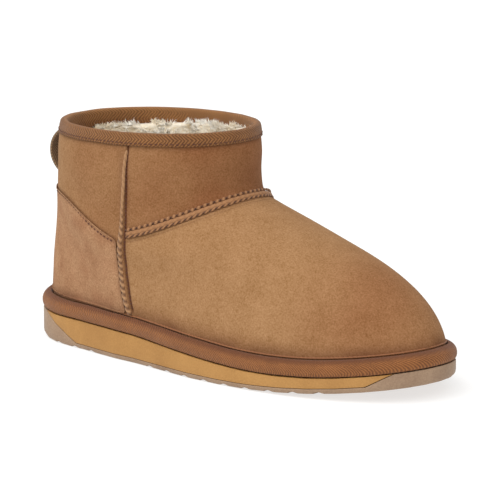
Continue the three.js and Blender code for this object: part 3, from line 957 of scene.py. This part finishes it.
# Pressed nap and painted shade: the grooves, the step under the collar tape, the binding's shoulder, the
# counter's edge and stitch line and the gap before the side seam are darkened where shade falls
pressedAndShade = {  # how far it reaches from each line, and how strong it is there
    "sideSeam": (3 * mm, 0.3),
    "instepSeam": (3 * mm, 0.45),
    "tape": (1.2 * mm, 0.25),
    "binding": (4.8 * mm, 0.6),
    "counterEdge": (0.9 * mm, 0.25),
    "stitchLine": (0.8 * mm, 0.2),
    "counterFoot": (4.8 * mm, 0.55),
    "counterSide": (2 * mm, 0.3),
    "grooves": (0.95, 0.5, 0.25),
    "cloud": 9 * mm,
}
# A darker, redder tone: the shaft's front panel's own, and painted shade where the shaft, the quarter, the
# toe and the vamp along the binding turn from the light
toneAndShade = {
    "side": 0.5,  # on the shaft ahead of the side seam, growing towards its front
    "front": 1.1,
    "back": 0.05,  # on the shaft behind it, growing towards the seam
    "seam": 0.5,
    "toe": 0.75,
    "foot": 0.35,  # on the vamp, along the binding
    "cloud": 22 * mm,
}


def pressedAndShadeBy(line, distance):
    reach, strength = pressedAndShade[line]
    return strength * math.exp(-((distance / reach) ** 2))


def pressedAndShadeCloud(point, seed):
    return 0.75 + 0.5 * lumps(point, pressedAndShade["cloud"], seed)


# pressed nap and painted shade on the upper
def pressedAndShadeAt(point):
    shade = max(
        pressedAndShadeBy("sideSeam", point.x - sideSeamPlace(point.z)),
        pressedAndShadeBy("tape", tapeHeight(point.x) - point.z),
        pressedAndShadeBy("binding", max(point.z - bindingTop(point.x), 0)))
    edge = 0
    if point.x > seams["instepBack"]:
        shade = max(shade, pressedAndShadeBy("instepSeam", instepHeight(point.x) - point.z))
    else:
        edge = pressedAndShadeBy("counterEdge", max(point.z - counterHeight(point.x), 0))
    grooves = [strength * share for strength, share in zip(pressedAndShade["grooves"], grooveAt(point))]
    return min(max(shade * pressedAndShadeCloud(point, 6), edge, *grooves), 1)


def mixed(start, end, share):
    return start + (end - start) * share


# the panel's own tone and painted shade on the upper
def toneAndShadeAt(point):
    ahead = smoothStep(-1 * mm, 2 * mm, point.x - sideSeamPlace(point.z))
    above = smoothStep(-1 * mm, 1 * mm, point.z - instepHeight(point.x))
    front = ahead * above * mixed(toneAndShade["side"], toneAndShade["front"], smoothStep(-40 * mm, 0, point.x))
    behind = (1 - ahead) * mixed(toneAndShade["back"], toneAndShade["seam"], smoothStep(-105 * mm, -60 * mm, point.x))
    toe = toneAndShade["toe"] * smoothStep(50 * mm, 115 * mm, point.x)
    foot = toneAndShade["foot"] * ahead * (1 - above) * smoothStep(12 * mm, 2 * mm, point.z - bindingTop(point.x))
    return min(max(front, behind, toe, foot) * (0.9 + 0.4 * lumps(point, toneAndShade["cloud"], 9)), 1)


def insideShaft(point):
    # 1 on the tape's inner side, 0 outside: where painted light is added
    _, surface, _, _ = upper.closest_point_on_mesh(point)
    middle = seams["shaftMiddle"].xy
    return smoothStep(1.2 * mm, -1.2 * mm, (point.xy - middle).length - (surface.xy - middle).length)


# painted shade on the counter: along its stitch line, over the binding and before the side seam
def pressedAndShadeOnCounter(point):
    shade = max(
        pressedAndShadeBy("stitchLine", counterHeight(point.x) - point.z - counter["stitchDrop"]),
        pressedAndShadeBy("counterFoot", max(point.z - bindingTop(point.x), 0)),
        pressedAndShadeBy("counterSide", max(sideSeamPlace(point.z) - 4.5 * mm - point.x, 0)))
    return min(shade * pressedAndShadeCloud(point, 7), 1)


setAttribute(upper, "pressedAndShade", pressedAndShadeAt)
setAttribute(upper, "toneAndShade", toneAndShadeAt)
setAttribute(heelCounter, "pressedAndShade", pressedAndShadeOnCounter)
setAttribute(heelCounter, "toneAndShade", lambda p: 0.3 + 0.4 * lumps(p, 8 * mm, 12))
setAttribute(collarTape, "paintedInnerLight", insideShaft)
# painted shade along the collar tape's lower edge
setAttribute(collarTape, "pressedAndShade", lambda p: 0.3 * smoothStep(1.6 * mm, 0.2 * mm, p.z - tapeHeight(p.x)))
# painted shade on the binding's upper shoulder
setAttribute(bindingTape, "pressedAndShade", lambda p: 0.6 * smoothStep(-3.4 * mm, -0.8 * mm, p.z - bindingTop(p.x)))
finishPiece(upper, suedeTan, "suede", "upper")
finishPiece(heelCounter, suedeCounter, "suede", "heel_counter")
finishPiece(collarTape, twillTape, "binding_tape", "collar_tape")
finishPiece(bindingTape, twillBinding, "binding_tape", "binding_round_sole")


# Overlocked seams: a cord of close slanted turns, and on the instep a row of needle holes above it

sideRope = {
    "half": lambda point: 0.95 * mm + 1.05 * mm * smoothStep(84 * mm, 60 * mm, point.z),
    "depth": lambda point: 0.1 + 0.2 * smoothStep(90 * mm, 70 * mm, point.z),
    "flat": 0.75,
    "lift": 0.2 * mm,
    "offset": 0,
    "pitch": 3.6 * mm,
    "slant": 1.3 * mm,
}
instepRopes = {  # side by side: thread between the needle holes, whose deep gaps get painted shade, the cord, and slanted turns below it
    "holes": {"half": 0.95 * mm, "depth": 0.55, "flat": 0.6, "lift": -0.1 * mm, "slant": 0.3 * mm},
    "cord": {"half": 1.2 * mm, "depth": 0.07, "flat": 0.5, "lift": -0.4 * mm, "slant": 0.8 * mm},
    "turns": {"half": 0.85 * mm, "depth": 0.45, "flat": 0.6, "lift": -0.2 * mm, "slant": 1.0 * mm},
}
instepOffsets = {"holes": -2.2 * mm, "cord": -0.2 * mm, "turns": 1.5 * mm}
instepPitch = 3.5 * mm
edgeRope = {
    "half": 0.5 * mm,
    "depth": 0.12,
    "flat": 1,
    "lift": 0.15 * mm,
    "offset": 0,
    "pitch": 2.4 * mm,
    "slant": 0.4 * mm,
}


def sewInstep(line):
    for part, rope in instepRopes.items():
        rope = {**rope, "offset": instepOffsets[part], "pitch": instepPitch}
        row = ropeAlong("instep_seam_" + part, line, rope, Vector((0, 0, -1)))
        finishPiece(row, seamThread, "suede")


for side, name in ((-1, "outer_side_seam"), (1, "inner_side_seam")):
    finishPiece(ropeAlong(name, ropeLines[side], sideRope, Vector((1, 0, 0))), sideThread, "suede")
sewInstep(instepLine)


stitches = {  # their spacing, length and radius
    "groove": (2.1 * mm, 0.9 * mm, 0.34 * mm),
    "counter": (2.6 * mm, 1.0 * mm, 0.36 * mm),
    "collar": (2.9 * mm, 1.5 * mm, 0.26 * mm),
}
stitchLift = 0.05 * mm


def sewLine(name, line, kind, slot):
    # a row of single stitches, each lying along the line
    step, length, radius = stitches[kind]
    points = [(0, length / 2 * share, 0.45 * radius * (1 - share * share)) for share in np.linspace(-1, 1, 5)]
    up = Vector((0, 0, 1))
    places = [placeOn(p + n * stitchLift, n, a, up) for p, n, a in spaced(line, step)]
    row = joinCopies(name, stitchTemplate(points, radius, 6), places)
    setAttribute(row, "crestLightGapShade", lambda _: 0.8)
    smoothFaces(row)
    finishPiece(row, stitchThreadAndHoleShade, slot)


# dark stitches in the side grooves, standing for shaded needle holes: painted shade
for side, name in ((-1, "outer_groove_stitches"), (1, "inner_groove_stitches")):
    sewLine(name, grooveLines[side], "groove", "suede")
sewLine("counter_stitches", counterLine, "counter", "suede")
sewLine("collar_stitches", tapeLine, "collar", "binding_tape")
edgeCord = ropeAlong("binding_edge_cord", bindingLine, edgeRope, Vector((0, 0, 1)))
finishPiece(edgeCord, edgeThread, "binding_tape")
print("seams sewn")


# Wool: a thick lining inside the upper, with locks standing from it, and the bed on the sole

wool = {
    "sharp": 65,  # degrees, of the rims round the upper's inner face
    "ankle": 70 * mm,  # height where the foot turns into the shaft
    "footEnds": (-90 * mm, 80 * mm),  # of the middle line of the foot
    "footHeights": (30 * mm, 45 * mm),
    "levels": 2,
    "sink": 0.4 * mm,  # of the pile's roots into the skin
    "pile": 5.5 * mm,
    "topMiddle": (-60 * mm, 0, 114.8 * mm),
    "topSlope": (0.062, 0.036),  # it climbs towards the front and the inner side
    "clump": 7 * mm,
    "clumpRise": 1.6 * mm,
    "tuft": 3 * mm,
    "locks": 11500,  # in each of the two pieces
    "locksFrom": {"wool_locks": 60 * mm, "wool_locks_top": 98 * mm},
    "lockLength": 4.8 * mm,
    "lockRadius": 0.4 * mm,
    "rootDepth": 1.2 * mm,
    "flow": 9 * mm,  # over which neighbouring locks lean the same way
    "flowSeeds": (21, 22, 23),
    "lean": 2.2,
    "lift": 0.25,
    "stand": 0.38,
    "spread": 0.25,
    "seed": 11,
}


def innerWall(name):
    # the upper's inner face, found from a face inside the shaft outwards to the sharp rims
    piece = copyNode("upper", name)
    joinLeftTriangles(piece)
    clearSelection(piece, "EDGE")
    bpy.ops.object.mode_set(mode="EDIT")
    bpy.ops.mesh.edges_select_sharp(sharpness=math.radians(wool["sharp"]))
    bpy.ops.mesh.mark_seam()
    clearSelection(piece, "FACE")
    inside = seams["shaftMiddle"] + Vector((0, 0, wool["ankle"]))
    min(piece.data.polygons, key=lambda face: (face.center - inside).length).select = True
    bpy.ops.object.mode_set(mode="EDIT")
    bpy.ops.mesh.select_linked(delimit={"SEAM"})
    bpy.ops.mesh.select_all(action="INVERT")
    bpy.ops.mesh.delete(type="FACE")
    bpy.ops.mesh.select_all(action="SELECT")
    along, across = wool["topSlope"]
    bpy.ops.mesh.bisect(plane_co=wool["topMiddle"], plane_no=(-along, -across, 1), clear_outer=True)
    bpy.ops.object.mode_set(mode="OBJECT")
    return piece


def middleAt(point):
    # middle line of the foot and the shaft, level with a point
    if point.z > wool["ankle"]:
        return Vector((seams["shaftMiddle"].x, 0, point.z))
    back, front = wool["footEnds"]
    low, high = wool["footHeights"]
    return Vector((min(max(point.x, back), front), 0, max(min(point.z, high), low)))


def facing(point, normal):
    # how squarely the wool looks at the middle line
    return normal.dot((middleAt(point) - point).normalized())


def makeLining():
    piece = innerWall("wool_lining")
    smooth(piece, wool["levels"])
    moveAlongNormals(piece, lambda *_: wool["sink"])
    applyModifier(piece, "SOLIDIFY", thickness=wool["pile"], offset=1.0)

    def relief(point, normal):
        clumps = lumps(point, wool["clump"]) + 0.6 * lumps(point, wool["tuft"], 2)
        return smoothStep(0.0, 0.6, facing(point, normal)) * wool["clumpRise"] * clumps

    moveAlongNormals(piece, relief)
    smoothFaces(piece)
    return finishPiece(piece, woolCream, "wool")


def lockTemplate():
    # one lock: a three-sided cone, curled over
    rings, sides = 3, 3
    vertices = []
    for ring in range(rings):
        share = ring / rings
        centre = Vector((0.35 * share * share, 0.1 * math.sin(4 * share), share)) * wool["lockLength"]
        for side in range(sides):
            turn = 2 * math.pi * side / sides
            spoke = Vector((math.cos(turn), math.sin(turn), 0)) * wool["lockRadius"] * (1 - 0.6 * share)
            vertices.append(centre + spoke)
    vertices.append(Vector((0.45, -0.05, 0.92)) * wool["lockLength"])
    tip = len(vertices) - 1
    last = (rings - 1) * sides
    faces = tubeFaces(rings, sides)
    faces += [[last + side, last + (side + 1) % sides, tip] for side in range(sides)]
    faces.append([2, 1, 0])
    return np.array(vertices), faces


def flowAt(point):
    # soft direction field, so that neighbouring locks form tufts
    return Vector([lumps(point, wool["flow"], seed) for seed in wool["flowSeeds"]])


def makeLocks(lining, name, dice, low):
    # most locks stand along the lining's upper edge, where they show over the tape
    faces = [face for face in lining.data.polygons if face.center.z > low and face.area > 0]
    inside = [face for face in faces if facing(face.center, face.normal) > 0.1]
    weights = [face.area * (0.3 + 2.5 * smoothStep(90 * mm, 104 * mm, face.center.z)) for face in inside]
    matrices = []
    for face in dice.choices(inside, weights, k=wool["locks"]):
        spread = Vector([dice.gauss(0, wool["spread"]) for _ in range(3)])
        lean = flowAt(face.center) * wool["lean"] + Vector((0, 0, wool["lift"]))
        way = (face.normal * wool["stand"] + spread + lean).normalized()
        size = 0.55 + 0.5 * dice.random()
        turn = Matrix.Rotation(dice.uniform(0, 2 * math.pi), 4, "Z")
        aim = way.to_track_quat("Z", "Y").to_matrix().to_4x4()
        root = face.center - face.normal * wool["rootDepth"]
        matrices.append(Matrix.Translation(root) @ aim @ turn @ Matrix.Scale(size, 4))
    piece = joinCopies(name, lockTemplate(), matrices)
    smoothFaces(piece)
    return finishPiece(piece, woolFibre, "wool")


bed = {"levels": 3, "clumpRise": 0.9 * mm, "clump": 5 * mm}


def makeBed():
    piece = copyNode("insole", "wool_bed")
    smooth(piece, bed["levels"])
    moveAlongNormals(
        piece, lambda point, normal: bed["clumpRise"] * max(normal.z, 0) * lumps(point, bed["clump"], 3))
    smoothFaces(piece)
    return finishPiece(piece, woolCream, "wool", "insole")


lining = makeLining()
woolDice = random.Random(wool["seed"])
for name, low in wool["locksFrom"].items():
    makeLocks(lining, name, woolDice, low)
makeBed()
print("wool made:", len(lining.data.vertices), "vertices in the lining")


# Pull loop: ribbed webbing, sewn flat to the back at both ends

loop = {
    "steps": 56,
    "across": 10,
    "thickness": 1.5 * mm,
    "bulge": 13.0 * mm,
    "tab": 2 * mm,  # length sewn flat at each end
    "inset": 0.3 * mm,  # from the ends of its solid
    "gap": 0.5 * mm,  # between the skin and the tabs
    "bevel": 0.4 * mm,
    "smooth": 40,
}


def makePullLoop():
    low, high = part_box("pull_loop")
    width = high.y - low.y
    middle = (high.y + low.y) / 2
    line = []
    for i in range(loop["steps"] + 1):
        share = i / loop["steps"]
        z = high.z - loop["inset"] - (high.z - low.z - 2 * loop["inset"]) * share
        free = min(max((high.z - loop["tab"] - z) / (high.z - low.z - 2 * loop["tab"]), 0), 1)
        back = hitFrom(upper, Vector((seams["shaftMiddle"].x, middle, z)), Vector((1, 0, 0)))[0].x
        bulge = loop["bulge"] * math.sqrt(math.sin(math.pi * free))
        line.append(Vector((back - loop["gap"] - bulge, 0, z)))
    lengths = np.concatenate([[0], np.cumsum([(b - a).length for a, b in zip(line, line[1:])])])
    across = loop["across"]
    vertices, uvs = [], []
    for place, length in zip(line, lengths):
        for j in range(across + 1):
            y = middle + width * (j / across - 0.5)
            vertices.append((place.x, y, place.z))
            uvs.append((length, width * j / across))
    faces = []
    for i in range(loop["steps"]):
        for j in range(across):
            a = i * (across + 1) + j
            faces.append((a, a + 1, a + across + 2, a + across + 1))
    piece = meshPiece("webbing_pull_loop", vertices, faces)
    layer = piece.data.uv_layers.new(name="tape")
    for corner in piece.data.loops:
        layer.data[corner.index].uv = uvs[corner.vertex_index]
    applyModifier(piece, "SOLIDIFY", thickness=loop["thickness"], offset=1.0)
    applyModifier(piece, "BEVEL", width=loop["bevel"], segments=2, limit_method="ANGLE")
    smoothFaces(piece, loop["smooth"])
    return finishPiece(piece, webbingTape, "webbing", "pull_loop")


makePullLoop()
print("pull loop made")


# Sole: foam and rubber, their edges softly rounded

soleEdges = {"bevel": 0.12 * mm, "segments": 2, "angle": 35, "smooth": 40}


def makeSolePiece(node, name, material, slot):
    piece = copyNode(node, name, quads=False)
    applyModifier(
        piece, "BEVEL", width=soleEdges["bevel"], segments=soleEdges["segments"],
        limit_method="ANGLE", angle_limit=math.radians(soleEdges["angle"]))
    smoothFaces(piece, soleEdges["smooth"])
    return finishPiece(piece, material, slot, node)


makeSolePiece("midsole", "foam_midsole", foamTan, "midsole_foam")
makeSolePiece("outsole", "rubber_outsole", rubberGrey, "sole_rubber")
print("sole made")
